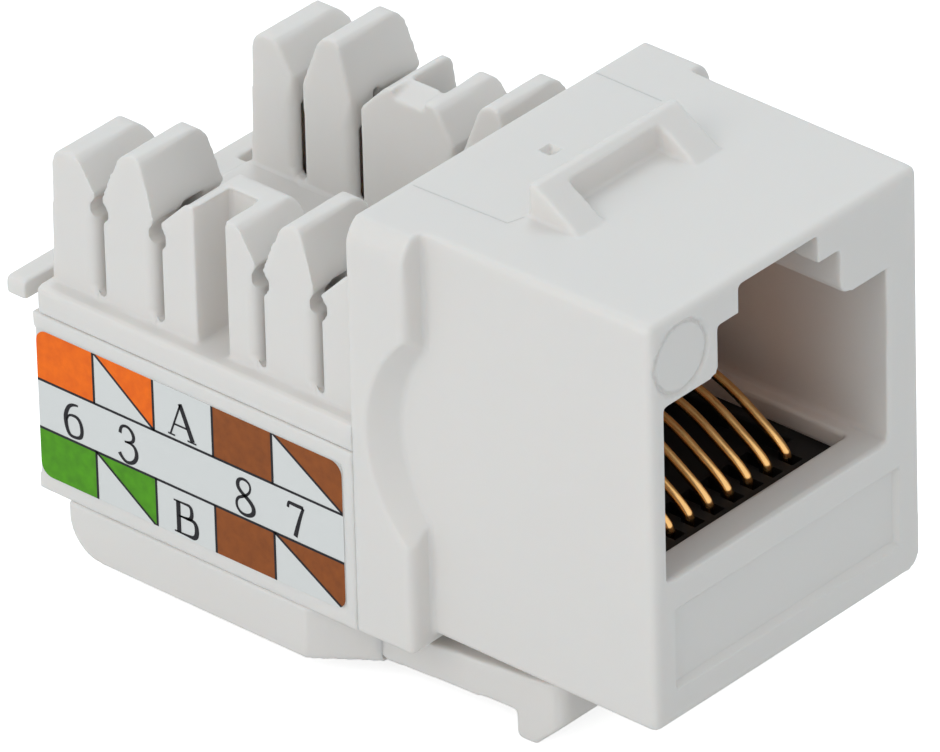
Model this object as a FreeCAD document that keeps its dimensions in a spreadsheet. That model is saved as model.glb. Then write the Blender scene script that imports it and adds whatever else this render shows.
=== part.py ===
"""Keystone jack for a data outlet: a snap-in socket with a wire terminal block behind it.

Frame: the mating face is y = 0 and the plug goes in along +Y. Z is up, with z = 0 at the underside
of the front housing. x = 0 is the middle of the housing. All sizes are in millimetres.
"""
import FreeCAD, Part
import math
import os
import Sketcher

doc = FreeCAD.newDocument("keystone_jack")

# ---------------------------------------------------------------- driving dimensions
SIZES = {
    # front housing
    "roof_wall": 0.4,
    "housing_foot_round": 1.2,
    "flange_front": 10.0,
    "flange_rear": 12.55,
    "flange_lip": 1.02,
    "flange_below": 0.36,
    "flange_edge_drop": 0.3,
    "flange_edge_run": 0.6,
    "grip_radius": 5.65,
    "grip_height": 7.9,
    "grip_reach_outer": 1.9,
    "grip_reach_inner": 1.14,
    # modular port
    "port_width": 11.87,
    "port_wall_left": 0.685,
    "port_wall_right": 1.345,
    "port_floor": 5.75,
    "port_height": 6.85,
    "latch_way_width": 6.35,
    "latch_way_depth": 1.82,
    "latch_slot_width": 4.05,
    "latch_slot_depth": 1.08,
    "latch_catch_depth": 1.1,
    "shoulder_depth": 3.2,
    "sill_depth": 1.0,
    "chamber_bottom": 0.6,
    "ejector_mark_x": -5.35,
    "ejector_mark_z": 14.15,
    "ejector_mark_radius": 1.3,
    "mark_depth": 0.1,
    "panel_depth": 0.2,
    "panel_width": 11.6,
    "panel_bottom": 1.38,
    "panel_top": 4.4,
    # fixed catch ridge on the roof
    "ridge_offset": -0.17,
    "ridge_width": 7.36,
    "ridge_front": 5.7,
    "ridge_rear": 7.97,
    "ridge_height": 1.24,
    "ridge_crest": 0.3,
    "ridge_notch_width": 4.7,
    # rear body and terminal block
    "body_rear": 27.3,
    "body_wall": 1.05,
    "body_bottom": -0.43,
    "body_top": 6.7,
    "ledge_height": 7.85,
    "block_rear": 27.0,
    "label_recess": 0.12,
    "label_thickness": 0.1,
    "label_length": 14.1,
    "label_height": 5.9,
    "label_bottom": 0.2,
    "label_front": 13.05,
    "label_corner": 0.5,
    # towers
    "row_near_inset": 0.67,
    "row_far_inset": 5.09,
    "tower_base_length": 4.3,
    "tower_lean": 0.155,
    "tower_round": 0.85,
    "tower_rear": 26.85,
    "tower_rear_lean": 0.2,
    "tower_rear_round": 0.6,
    "tower_low_top": 13.25,
    "tower_high_top": 14.2,
    "lead_in_bottom": 12.0,
    "wire_slot_width": 0.44,
    "wire_slot_1": 24.525,
    "wire_slot_2": 21.83,
    "wire_slot_3": 17.135,
    "wire_slot_4": 14.495,
    "yoke_wall": 1.1,
    "yoke_wall_drop": 0.35,
    # insulation-displacement terminals
    "terminal_near_set": 2.1,
    "terminal_front_set": 1.45,
    "terminal_far_set": 0.98,
    "terminal_thickness": 0.5,
    "terminal_width": 2.2,
    "terminal_slit": 0.3,
    "terminal_slit_depth": 3.6,
    "terminal_top": 11.2,
    "terminal_groove": 1.05,
    # rear tab
    "tab_neck_width": 6.0,
    "tab_neck_length": 0.6,
    "tab_depth": 0.85,
    "tab_thickness": 0.78,
    "tab_top_drop": 0.1,
    # bottom cover and latch arm
    "cover_rear": 25.95,
    "cover_front": 15.0,
    "cover_bottom": -2.5,
    "cover_corner": 1.45,
    "cover_rim_wall": 0.5,
    "arm_root": 12.7,
    "arm_half_root": 6.4,
    "arm_half_tip": 6.05,
    "arm_tip": 5.07,
    "arm_bottom_root": -2.42,
    "arm_bottom_tip": -2.25,
    "arm_top_root": -1.1,
    "arm_top_tip": -0.63,
    "hook_rear": 7.0,
    "hook_bottom": -3.4,
    "hook_flat": 0.7,
    "hinge_radius": 0.62,
    "hinge_clearance": 0.05,
    # circuit board and contact insert
    "board_bottom": 1.0,
    "board_thickness": 1.0,
    "board_front": 8.2,
    "board_rear": 26.0,
    "board_side_gap": 0.62,
    "board_nose_width": 9.8,
    "insert_floor_drop": 1.45,
    "insert_play": 0.05,
    "comb_drop": 0.75,
    "comb_depth": 2.4,
    "contact_pitch": 1.02,
    "contact_radius": 0.2,
    "contact_slot": 0.56,
    "contact_front": 2.6,
    "contact_crest_drop": 0.48,
    "contact_bow_y": 5.3,
    "contact_bow_rise": 1.42,
    "contact_rise": 4.15,
    "contact_back": 10.3,
    "contact_run_drop": 2.45,
    "contact_bend": 0.75,
    "pin_row_1": 9.6,
    "pin_row_2": 11.2,
    # smaller values shared by several pieces
    "port_depth": 10.1,
    "fit_play": 0.05,
    "label_play": 0.05,
    "skirt_height": 0.8,
    "skirt_wall": 0.4,
    "ridge_notch_wall": 0.62,
    "yoke_length_near": 3.0,
    "yoke_length_far": 3.25,
    "yoke_leg_rear": 1.5,
    "yoke_leg_front": 1.33,
    "yoke_round": 0.5,
    "slot_bottom": 8.0,
    "slot_foot": 0.15,
    "lead_low": 0.77,
    "lead_high": 0.72,
    "lead_steep": 0.52,
    "lead_wide": 1.22,
    "crest_drop": 0.4,
    "crest_run": 0.36,
    "notch_top": 11.9,
    "notch_height": 0.95,
    "notch_depth": 0.22,
    "hinge_gap": 0.1,
    "arm_axis": -1.76,
    "hook_round": 0.25,
    "rim_front": 13.4,
    "rim_rear": 24.2,
    "cover_floor": -1.5,
    "tail_play": 0.06,
    "terminal_shank": 0.9,
    "terminal_shoulder": 0.5,
    "terminal_mouth": 0.25,
    "solder_length": 0.3,
    "contact_mouth": 2.2,
    "contact_crest_bend": 1.3,
    "contact_bow_bend": 6.0,
    "guide_height": 1.0,
}

# Sizes that follow from the ones above, so that the pieces stay together when one of them changes.
DERIVED = {
    "housing_width": "port_width + port_wall_left + port_wall_right",
    "port_offset": "(port_wall_left - port_wall_right) / 2",
    "port_roof": "port_floor + port_height",
    "latch_way_top": "port_roof + latch_way_depth",
    "latch_slot_top": "latch_way_top + latch_slot_depth",
    "housing_height": "latch_slot_top + roof_wall",
    "flange_width": "housing_width + 2 * flange_lip",
    "board_width": "flange_width - 2 * body_wall - 2 * board_side_gap",
    "row_near_x": "row_near_inset - flange_width / 2",
    "row_far_x": "flange_width / 2 - row_far_inset",
    "insert_floor": "port_floor - insert_floor_drop",
    "comb_height": "port_floor - comb_drop",
    "contact_crest": "port_floor - contact_crest_drop",
    "contact_bow": "port_floor + contact_bow_rise",
    "contact_lift": "port_floor + contact_rise",
    "contact_run": "port_floor - contact_run_drop",
}
NAMES = set(SIZES) | set(DERIVED)

sheet = doc.addObject("Spreadsheet::Sheet", "sizes")
cells = list(SIZES.items()) + [(alias, "=" + rule) for alias, rule in DERIVED.items()]
for row, (alias, value) in enumerate(cells, start=1):
    sheet.set("A%d" % row, alias)
    sheet.set("B%d" % row, str(value))
    sheet.setAlias("B%d" % row, alias)
doc.recompute()

def bound(text):
    """An expression in which every size name points to the sheet."""
    out = ""
    word = ""
    for char in text + " ":
        if char.isalnum() or char == "_":
            word += char
            continue
        out += "sizes." + word if word in NAMES else word
        word = ""
        out += char
    return out.strip()


def value(text):
    """The present value of an expression of size names."""
    return float(sheet.evalExpression(bound(text)))


# ---------------------------------------------------------------- sketch and feature helpers
PLANES = {"XY": "XY_Plane", "XZ": "XZ_Plane", "YZ": "YZ_Plane"}


def new_body(label):
    """An empty body whose label is also its file name."""
    body = doc.addObject("PartDesign::Body", label)
    body.Label = label
    body.Placement = FreeCAD.Placement()
    return body


def new_sketch(body, plane, at, name):
    """A sketch parallel to one of the body's planes, at a bound distance along the plane's axis."""
    sketch = body.newObject("Sketcher::SketchObject", name + "_sketch")
    support = [feature for feature in body.Origin.OriginFeatures if feature.Role == PLANES[plane]][0]
    sketch.AttachmentSupport = [(support, "")]
    sketch.MapMode = "FlatFace"
    sign = "-" if plane == "XZ" else ""
    sketch.setExpression("AttachmentOffset.Base.z", bound("%s(%s)" % (sign, at)))
    return sketch


def pin_point(sketch, geometry, corner, across, up):
    """Ties one end point (or a circle's middle) to the sketch origin by two bound distances."""
    for kind, text in (("DistanceX", across), ("DistanceY", up)):
        index = sketch.addConstraint(
            Sketcher.Constraint(kind, -1, 1, geometry, corner, value(text)))
        sketch.setExpression("Constraints[%d]" % index, bound(text))


def draw_polygon(sketch, points):
    """A closed outline through points given as pairs of expressions."""
    corners = [FreeCAD.Vector(value(across), value(up), 0) for across, up in points]
    for index, corner in enumerate(corners):
        following = corners[(index + 1) % len(corners)]
        sketch.addGeometry(Part.LineSegment(corner, following))
    for index in range(len(corners)):
        following = (index + 1) % len(corners)
        sketch.addConstraint(Sketcher.Constraint("Coincident", index, 2, following, 1))
    for index, (across, up) in enumerate(points):
        pin_point(sketch, index, 1, across, up)


def draw_circle(sketch, across, up, radius):
    """A circle whose middle and radius are bound."""
    middle = FreeCAD.Vector(value(across), value(up), 0)
    axis = FreeCAD.Vector(0, 0, 1)
    sketch.addGeometry(Part.Circle(middle, axis, value(radius)))
    pin_point(sketch, 0, 3, across, up)
    index = sketch.addConstraint(Sketcher.Constraint("Radius", 0, value(radius)))
    sketch.setExpression("Constraints[%d]" % index, bound(radius))


def extrude(body, kind, sketch, plane, start, end, name):
    """Adds (Pad) or removes (Pocket) the sketch's prism between two places along the axis."""
    feature = body.newObject("PartDesign::" + kind, name)
    feature.Profile = sketch
    feature.setExpression("Length", bound("(%s) - (%s)" % (end, start)))
    feature.Reversed = (kind == "Pad") == (plane == "XZ")
    return feature


def prism(body, kind, plane, points, start, end, name):
    """A polygon prism added to or cut from the body."""
    sketch = new_sketch(body, plane, start, name)
    draw_polygon(sketch, points)
    return extrude(body, kind, sketch, plane, start, end, name)


def drum(body, kind, plane, across, up, radius, start, end, name):
    """A round prism added to or cut from the body."""
    sketch = new_sketch(body, plane, start, name)
    draw_circle(sketch, across, up, radius)
    return extrude(body, kind, sketch, plane, start, end, name)


def rectangle(left, right, low, high):
    """The corners of a rectangle."""
    return [(left, low), (right, low), (right, high), (left, high)]


def centred(width, low, high, middle="0"):
    """A rectangle of a bound width about a middle line."""
    left = "(%s) - (%s) / 2" % (middle, width)
    right = "(%s) + (%s) / 2" % (middle, width)
    return rectangle(left, right, low, high)


def quarter(across, up, radius, turns=0):
    """Five points of a quarter circle about a middle point, counter-clockwise after some quarter turns."""
    points = []
    for cosine, sine in ((1, 0), (0.924, 0.383), (0.707, 0.707), (0.383, 0.924), (0, 1)):
        for _ in range(turns):
            cosine, sine = -sine, cosine
        points.append(("%s + %s * %s" % (across, radius, cosine), "%s + %s * %s" % (up, radius, sine)))
    return points


def edges_where(body, test):
    """Names of the tip's edges whose middle point passes the test."""
    found = []
    for index, edge in enumerate(body.Tip.Shape.Edges, start=1):
        middle = edge.valueAt((edge.FirstParameter + edge.LastParameter) / 2)
        if test(middle, edge):
            found.append("Edge%d" % index)
    return found


def dress(body, kind, test, amount, name):
    """A fillet or chamfer of a bound size on the edges that pass the test."""
    doc.recompute()
    base = body.Tip
    names = edges_where(body, test)
    feature = body.newObject("PartDesign::" + kind, name)
    feature.Base = (base, names)
    feature.setExpression("Radius" if kind == "Fillet" else "Size", bound(amount))
    doc.recompute()
    return feature


def near(number, target):
    """True where two lengths agree."""
    return abs(number - target) < 0.01


# ---------------------------------------------------------------- front housing
# One moulding: a box with the port in its face, a flange that stops it behind the panel, a ridge on
# the roof that hooks the panel, and a scooped finger grip on each flange side.
housing = new_body("front_housing")
shell_outline = [
    ("housing_width / 2", "housing_height"),
    ("-housing_width / 2", "housing_height"),
    ("-housing_width / 2", "0"),
] + quarter("housing_width / 2 - housing_foot_round", "housing_foot_round", "housing_foot_round", 3)
prism(housing, "Pad", "XZ", shell_outline, "0", "flange_rear", "shell")
flange_outline = [
    ("-flange_width / 2", "-flange_below"),
    ("flange_width / 2", "-flange_below"),
    ("flange_width / 2", "housing_height - flange_edge_drop"),
    ("flange_width / 2 - flange_edge_run", "housing_height"),
    ("-flange_width / 2 + flange_edge_run", "housing_height"),
    ("-flange_width / 2", "housing_height - flange_edge_drop"),
]
prism(housing, "Pad", "XZ", flange_outline, "flange_front", "flange_rear", "flange")

# The grip's scoop is a slanted round cut: it reaches further back at the flange's outer face.
grip = []
for tag, across, reach in (("root", "housing_width / 2", "grip_reach_inner"),
                           ("mouth", "flange_width / 2", "grip_reach_outer")):
    ring = new_sketch(housing, "YZ", "-(%s)" % across, "grip_" + tag)
    draw_circle(ring, "flange_front + %s - grip_radius" % reach, "grip_height", "grip_radius")
    grip.append(ring)
scoop = housing.newObject("PartDesign::SubtractiveLoft", "grip_left")
scoop.Profile = grip[0]
scoop.Sections = [grip[1]]
scoop.Ruled = True
doc.recompute()
mirror = housing.newObject("PartDesign::Mirrored", "grip_right")
mirror.Originals = [scoop]
middle_plane = [plane for plane in housing.Origin.OriginFeatures if plane.Role == "YZ_Plane"][0]
mirror.MirrorPlane = (middle_plane, [""])
housing.Tip = mirror
doc.recompute()

# The port is stepped like the plug: body, latch way and latch slot. Behind the front wall the steps
# open out, so that the plug's latch can spring up and catch.
port_left = "port_offset - port_width / 2"
port_right = "port_offset + port_width / 2"
way_left = "port_offset - latch_way_width / 2"
way_right = "port_offset + latch_way_width / 2"
slot_left = "port_offset - latch_slot_width / 2"
slot_right = "port_offset + latch_slot_width / 2"
port_outline = [
    (port_left, "port_floor"),
    (port_right, "port_floor"),
    (port_right, "port_roof"),
    (way_right, "port_roof"),
    (way_right, "latch_way_top"),
    (slot_right, "latch_way_top"),
    (slot_right, "latch_slot_top"),
    (slot_left, "latch_slot_top"),
    (slot_left, "latch_way_top"),
    (way_left, "latch_way_top"),
    (way_left, "port_roof"),
    (port_left, "port_roof"),
]
prism(housing, "Pocket", "XZ", port_outline, "0", "port_depth", "port")
prism(housing, "Pocket", "XZ", rectangle(way_left, way_right, "port_roof", "latch_slot_top"),
      "latch_catch_depth", "port_depth", "latch_room")
prism(housing, "Pocket", "XZ", rectangle(port_left, port_right, "port_floor", "latch_way_top"),
      "shoulder_depth", "port_depth", "shoulder_room")
prism(housing, "Pocket", "XZ", rectangle(port_left, port_right, "port_floor", "port_roof"),
      "port_depth - insert_play", "flange_rear", "insert_way")
prism(housing, "Pocket", "XZ", rectangle(port_left, port_right, "chamber_bottom", "port_floor + insert_play"),
      "sill_depth", "flange_rear", "insert_chamber")

# The fixed catch: a ridge with an upright rear face and a sloped front, notched in the middle.
ridge_outline = [
    ("ridge_front", "housing_height"),
    ("ridge_rear", "housing_height"),
    ("ridge_rear", "housing_height + ridge_height"),
    ("ridge_rear - ridge_crest", "housing_height + ridge_height"),
]
ridge_left = "ridge_offset - ridge_width / 2"
ridge_right = "ridge_offset + ridge_width / 2"
prism(housing, "Pad", "YZ", ridge_outline, ridge_left, ridge_right, "ridge")
ridge_notch = [
    ("ridge_front - ridge_crest", "housing_height"),
    ("ridge_rear - ridge_notch_wall", "housing_height"),
    ("ridge_rear - ridge_notch_wall", "housing_height + ridge_height * 2"),
    ("ridge_front - ridge_crest", "housing_height + ridge_height * 2"),
]
prism(housing, "Pocket", "YZ", ridge_notch, "ridge_offset - ridge_notch_width / 2",
      "ridge_offset + ridge_notch_width / 2", "ridge_notch")

# Ejector mark and plain recessed panel on the front face.
drum(housing, "Pocket", "XZ", "ejector_mark_x", "ejector_mark_z", "ejector_mark_radius",
     "0", "mark_depth", "ejector_mark")
prism(housing, "Pocket", "XZ", centred("panel_width", "panel_bottom", "panel_top"),
      "0", "panel_depth", "front_panel")

# ---------------------------------------------------------------- rear body
# An open sleeve behind the flange: it carries the two wiring labels and closes round the board.
sleeve = new_body("rear_body")
body_half = "flange_width / 2"
prism(sleeve, "Pad", "XZ", centred("flange_width", "body_bottom", "body_top"),
      "flange_rear", "body_rear", "sleeve")
prism(sleeve, "Pocket", "XZ", centred("flange_width - 2 * body_wall", "body_bottom", "body_top"),
      "flange_rear", "body_rear - body_wall", "sleeve_hollow")
for side, outer in (("left", "-(%s)" % body_half), ("right", "(%s) - label_recess" % body_half)):
    seat = rectangle("label_front - label_play", "body_rear", "label_bottom - label_play",
                     "label_bottom + label_height + label_play")
    prism(sleeve, "Pocket", "YZ", seat, outer, "%s + label_recess" % outer, side + "_label_seat")

# ---------------------------------------------------------------- terminal block
# A ledge plate that caps the rear body, with two rows of towers that hold the wires.
block = new_body("terminal_block")
prism(block, "Pad", "XZ", centred("flange_width", "body_top", "ledge_height"),
      "flange_rear", "block_rear", "ledge")
prism(block, "Pad", "XY", centred("flange_width - 2 * body_wall - 2 * fit_play",
      "flange_rear + fit_play", "body_rear - body_wall - fit_play"),
      "body_top - skirt_height", "body_top", "skirt")
prism(block, "Pocket", "XY", centred("flange_width - 2 * body_wall - 2 * fit_play - 2 * skirt_wall",
      "flange_rear + fit_play + skirt_wall", "body_rear - body_wall - fit_play - skirt_wall"),
      "body_top - skirt_height", "body_top", "skirt_hollow")

SLOTS = ("wire_slot_1", "wire_slot_2", "wire_slot_3", "wire_slot_4")
ROWS = {"near": "row_near_x", "far": "row_far_x"}
SET_BACK = {
    ("near", "wire_slot_1"): "terminal_near_set",
    ("near", "wire_slot_2"): "terminal_near_set",
    ("near", "wire_slot_3"): "terminal_front_set",
    ("near", "wire_slot_4"): "terminal_front_set",
    ("far", "wire_slot_1"): "terminal_far_set",
    ("far", "wire_slot_2"): "terminal_far_set",
    ("far", "wire_slot_3"): "terminal_far_set",
    ("far", "wire_slot_4"): "terminal_far_set",
}
# Each slot lies between a rear tower and a front tower: which of the two is high.
HIGH_FRONT = ("wire_slot_1", "wire_slot_3")
half_slot = "wire_slot_width / 2"
sky = "tower_high_top + 1"


def blade_x(row, middle):
    """Expression for the middle of a slot's terminal across the jack."""
    return "%s + %s" % (ROWS[row], SET_BACK[row, middle])


def above_crest(x_face, x_end, top, radius):
    """What to clear above a tower so that its crest ends in a rounded shoulder."""
    return [
        (x_face, top),
        (x_face, sky),
        (x_face + " + tower_base_length", sky),
        (x_face + " + tower_base_length", "%s - %s" % (top, radius)),
    ] + quarter("%s - %s" % (x_end, radius), "%s - %s" % (top, radius), radius)


def wire_gap(middle):
    """Outline of a slot: narrow below, then a lead-in that slopes up to the two towers."""
    rear_edge = "%s + %s" % (middle, half_slot)
    front_edge = "%s - %s" % (middle, half_slot)
    foot = [
        (front_edge, "slot_bottom + slot_foot"),
        (front_edge + " + slot_foot", "slot_bottom"),
        (rear_edge + " - slot_foot", "slot_bottom"),
        (rear_edge, "slot_bottom + slot_foot"),
        (rear_edge, "lead_in_bottom"),
    ]
    if middle in HIGH_FRONT:
        return foot + [
            (rear_edge + " + lead_low", "tower_low_top"),
            (rear_edge + " + lead_low", sky),
            (front_edge + " - lead_high - crest_run", sky),
            (front_edge + " - lead_high - crest_run", "tower_high_top"),
            (front_edge + " - lead_high", "tower_high_top - crest_drop"),
            (front_edge, "lead_in_bottom"),
        ]
    return foot + [
        (rear_edge + " + lead_steep", "tower_high_top"),
        (rear_edge + " + lead_steep", sky),
        (front_edge + " - lead_wide", sky),
        (front_edge + " - lead_wide", "tower_low_top"),
        (front_edge, "lead_in_bottom"),
    ]


for row, x_face in ROWS.items():
    # The row starts as one wall with an upright outer end and a leaning, rounded inner end.
    row_end = x_face + " + tower_base_length"
    high_end = row_end + " - tower_lean * (tower_high_top - tower_round - ledge_height)"
    low_end = row_end + " - tower_lean * (tower_low_top - tower_round - ledge_height)"
    wall_outline = [
        (x_face, "tower_high_top"),
        (x_face, "ledge_height"),
        (row_end, "ledge_height"),
    ] + quarter(high_end + " - tower_round", "tower_high_top - tower_round", "tower_round")
    prism(block, "Pad", "XZ", wall_outline, "flange_rear", "block_rear", row + "_row")
    rear_face = [
        ("block_rear", sky),
        ("block_rear", "ledge_height"),
        ("tower_rear", "ledge_height"),
    ] + quarter("tower_rear - tower_rear_lean - tower_rear_round", "tower_low_top - tower_rear_round",
                "tower_rear_round") + [("tower_rear - tower_rear_lean - tower_rear_round", sky)]
    prism(block, "Pocket", "YZ", rear_face, x_face, row_end, row + "_rear_face")
    # The first and last towers are lower than the middle ones.
    for tag, start, end in (("first", "wire_slot_1", "block_rear"), ("last", "flange_rear", "wire_slot_4")):
        prism(block, "Pocket", "XZ", above_crest(x_face, low_end, "tower_low_top", "tower_round"),
              start, end, "%s_%s_low" % (row, tag))
    # The yoke between the second and third slot: two legs joined by a wall, open to the outside.
    yoke_rear = "wire_slot_2 - " + half_slot
    yoke_front = "wire_slot_3 + " + half_slot
    yoke_in = "%s + yoke_length_%s" % (x_face, row)
    yoke_foot = yoke_in + " + tower_lean * (tower_low_top - yoke_round - ledge_height)"
    trim = [
        (x_face, "tower_low_top"),
        (x_face, sky),
        (row_end, sky),
        (row_end, "ledge_height"),
        (yoke_foot, "ledge_height"),
    ] + quarter(yoke_in + " - yoke_round", "tower_low_top - yoke_round", "yoke_round")
    prism(block, "Pocket", "XZ", trim, yoke_front, yoke_rear, row + "_yoke_trim")
    bay_front = yoke_front + " + yoke_leg_front"
    bay_rear = yoke_rear + " - yoke_leg_rear"
    if row == "near":
        bay_left, bay_right = x_face, yoke_in + " - yoke_wall"
    else:
        bay_left, bay_right = x_face + " + yoke_wall", row_end
        slope = [
            (x_face, "tower_low_top - yoke_wall_drop"),
            (x_face + " + yoke_wall", "tower_low_top"),
            (x_face, "tower_low_top"),
        ]
        prism(block, "Pocket", "XZ", slope, bay_front, bay_rear, "far_wall_slope")
    bay = rectangle(bay_left, bay_right, bay_front, bay_rear)
    prism(block, "Pocket", "XY", bay, "ledge_height", "tower_low_top", row + "_yoke_bay")
    for number, middle in enumerate(SLOTS, start=1):
        name = "%s_slot_%d" % (row, number)
        prism(block, "Pocket", "YZ", wire_gap(middle), x_face, row_end, name)
        # A shallow hollow in both walls grips the wire just under the lead-in.
        reach = "(%s + notch_depth)" % half_slot
        hollow = [
            ("%s - %s" % (middle, half_slot), "notch_top"),
            ("%s - %s" % (middle, reach), "notch_top - notch_height * 0.3"),
            ("%s - %s" % (middle, reach), "notch_top - notch_height * 0.7"),
            ("%s - %s" % (middle, half_slot), "notch_top - notch_height"),
            ("%s + %s" % (middle, half_slot), "notch_top - notch_height"),
            ("%s + %s" % (middle, reach), "notch_top - notch_height * 0.7"),
            ("%s + %s" % (middle, reach), "notch_top - notch_height * 0.3"),
            ("%s + %s" % (middle, half_slot), "notch_top"),
        ]
        prism(block, "Pocket", "YZ", hollow, x_face, row_end, name + "_hollow")
        seat = rectangle(blade_x(row, middle) + " - terminal_groove / 2",
                         blade_x(row, middle) + " + terminal_groove / 2",
                         middle + " - terminal_width / 2 - fit_play",
                         middle + " + terminal_width / 2 + fit_play")
        prism(block, "Pocket", "XY", seat, "body_top", "lead_in_bottom", name + "_seat")

# A short bar on a neck behind the block.
tab_top = "ledge_height - tab_top_drop"
tab_low = "ledge_height - tab_top_drop - tab_thickness"
prism(block, "Pad", "XZ", centred("tab_neck_width", tab_low, tab_top),
      "block_rear", "block_rear + tab_neck_length", "tab_neck")
prism(block, "Pad", "XZ", centred("flange_width", tab_low, tab_top),
      "block_rear + tab_neck_length", "block_rear + tab_neck_length + tab_depth", "tab_bar")

# ---------------------------------------------------------------- bottom cover
# A tray under the rear body. Its front end narrows to the width of the latch arm, which it carries.
cover = new_body("bottom_cover")
cover_outline = [
    ("-(%s)" % body_half, "cover_rear"),
    ("-(%s)" % body_half, "cover_front"),
    ("-arm_half_root", "arm_root + hinge_gap"),
    ("arm_half_root", "arm_root + hinge_gap"),
    (body_half, "cover_front"),
    (body_half, "cover_rear"),
]
prism(cover, "Pad", "XY", cover_outline, "cover_bottom", "body_bottom", "tray")
dress(cover, "Fillet", lambda middle, edge: near(middle.y, value("cover_rear"))
      and near(middle.z, value("cover_bottom")), "cover_corner", "rear_round")
rim = centred("flange_width - 2 * body_wall - 2 * fit_play", "rim_front", "rim_rear")
prism(cover, "Pad", "XY", rim, "body_bottom", "board_bottom", "rim")
rim_hollow = centred("flange_width - 2 * body_wall - 2 * fit_play - 2 * cover_rim_wall",
                     "rim_front + cover_rim_wall", "rim_rear - cover_rim_wall")
prism(cover, "Pocket", "XY", rim_hollow, "cover_floor", "board_bottom", "rim_hollow")
drum(cover, "Pocket", "YZ", "arm_root", "arm_axis", "hinge_radius + hinge_clearance",
     "-arm_half_root", "arm_half_root", "arm_seat")

# ---------------------------------------------------------------- latch arm
# The springy arm under the housing: pressed up, it lets the hook pass the panel's lower edge.
arm = new_body("latch_arm")
arm_outline = [
    ("arm_root", "arm_bottom_root"),
    ("arm_root", "arm_top_root"),
    ("arm_tip", "arm_top_tip"),
    ("arm_tip", "arm_bottom_tip"),
    ("hook_rear - hook_flat", "hook_bottom"),
    ("hook_rear", "hook_bottom"),
    ("hook_rear", "arm_bottom_tip"),
]
prism(arm, "Pad", "YZ", arm_outline, "-arm_half_root", "arm_half_root", "arm_plate")
drum(arm, "Pad", "YZ", "arm_root", "arm_axis", "hinge_radius",
     "-arm_half_root", "arm_half_root", "arm_knuckle")
for side, sign in (("left", "-"), ("right", "")):
    taper = [
        (sign + "arm_half_root", "arm_root"),
        (sign + "arm_half_root", "arm_tip"),
        (sign + "arm_half_tip", "arm_tip"),
    ]
    prism(arm, "Pocket", "XY", taper, "hook_bottom", "arm_top_tip", side + "_taper")
dress(arm, "Fillet", lambda middle, edge: near(middle.z, value("hook_bottom"))
      and middle.y > value("hook_rear - hook_flat / 2"), "hook_round", "hook_nose")

# ---------------------------------------------------------------- circuit board
board = new_body("circuit_board")
board_outline = [
    ("port_offset - board_nose_width / 2", "board_front"),
    ("port_offset + board_nose_width / 2", "board_front"),
    ("port_offset + board_nose_width / 2", "flange_rear + body_wall"),
    ("board_width / 2", "flange_rear + body_wall"),
    ("board_width / 2", "board_rear"),
    ("-board_width / 2", "board_rear"),
    ("-board_width / 2", "flange_rear + body_wall"),
    ("port_offset - board_nose_width / 2", "flange_rear + body_wall"),
]
board_top = "board_bottom + board_thickness"
prism(board, "Pad", "XY", board_outline, "board_bottom", board_top, "laminate")
CONTACTS = range(1, 9)


def contact_x(number):
    """Expression for the middle of a contact, counted from the left."""
    return "port_offset + (%d - 4.5) * contact_pitch" % number


def pin_y(number):
    """The solder pins stand in two staggered rows."""
    return "pin_row_1" if number % 2 else "pin_row_2"


def board_hole(across, back, half_side, name):
    """A square hole through the board."""
    prism(board, "Pocket", "XY", rectangle("%s - %s" % (across, half_side), "%s + %s" % (across, half_side),
          "%s - %s" % (back, half_side), "%s + %s" % (back, half_side)), "board_bottom", board_top, name)


for number in CONTACTS:
    board_hole(contact_x(number), pin_y(number), "(contact_radius + fit_play)", "pin_hole_%d" % number)
for row in ROWS:
    for number, middle in enumerate(SLOTS, start=1):
        board_hole(blade_x(row, middle), middle, "(terminal_thickness / 2 + tail_play)",
                   "%s_tail_hole_%d" % (row, number))

# ---------------------------------------------------------------- wire terminals
# Eight forked blades. Each stands on the board and its slit cuts through a wire's insulation.
for row in ROWS:
    for number, middle in enumerate(SLOTS, start=1):
        blade = new_body("%s_terminal_%d" % (row, number))
        x_low = blade_x(row, middle) + " - terminal_thickness / 2"
        x_high = blade_x(row, middle) + " + terminal_thickness / 2"
        left = middle + " - terminal_width / 2"
        right = middle + " + terminal_width / 2"
        slit_left = middle + " - terminal_slit / 2"
        slit_right = middle + " + terminal_slit / 2"
        shank_left = middle + " - terminal_shank / 2"
        shank_right = middle + " + terminal_shank / 2"
        slit_low = "terminal_top - terminal_slit_depth"
        fork = [
            (shank_left, board_top),
            (shank_right, board_top),
            (shank_right, "body_top - skirt_height"),
            (right, "body_top - skirt_height + terminal_shoulder"),
            (right, "terminal_top"),
            (slit_right + " + terminal_mouth", "terminal_top"),
            (slit_right, "terminal_top - terminal_mouth * 2"),
            (slit_right, slit_low),
            (slit_left, slit_low),
            (slit_left, "terminal_top - terminal_mouth * 2"),
            (slit_left + " - terminal_mouth", "terminal_top"),
            (left, "terminal_top"),
            (left, "body_top - skirt_height + terminal_shoulder"),
            (shank_left, "body_top - skirt_height"),
        ]
        prism(blade, "Pad", "YZ", fork, x_low, x_high, "fork_%s_%d" % (row, number))
        tail = rectangle(x_low, x_high, middle + " - terminal_thickness / 2",
                         middle + " + terminal_thickness / 2")
        prism(blade, "Pad", "XY", tail, "board_bottom - solder_length", board_top,
              "tail_%s_%d" % (row, number))

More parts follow.
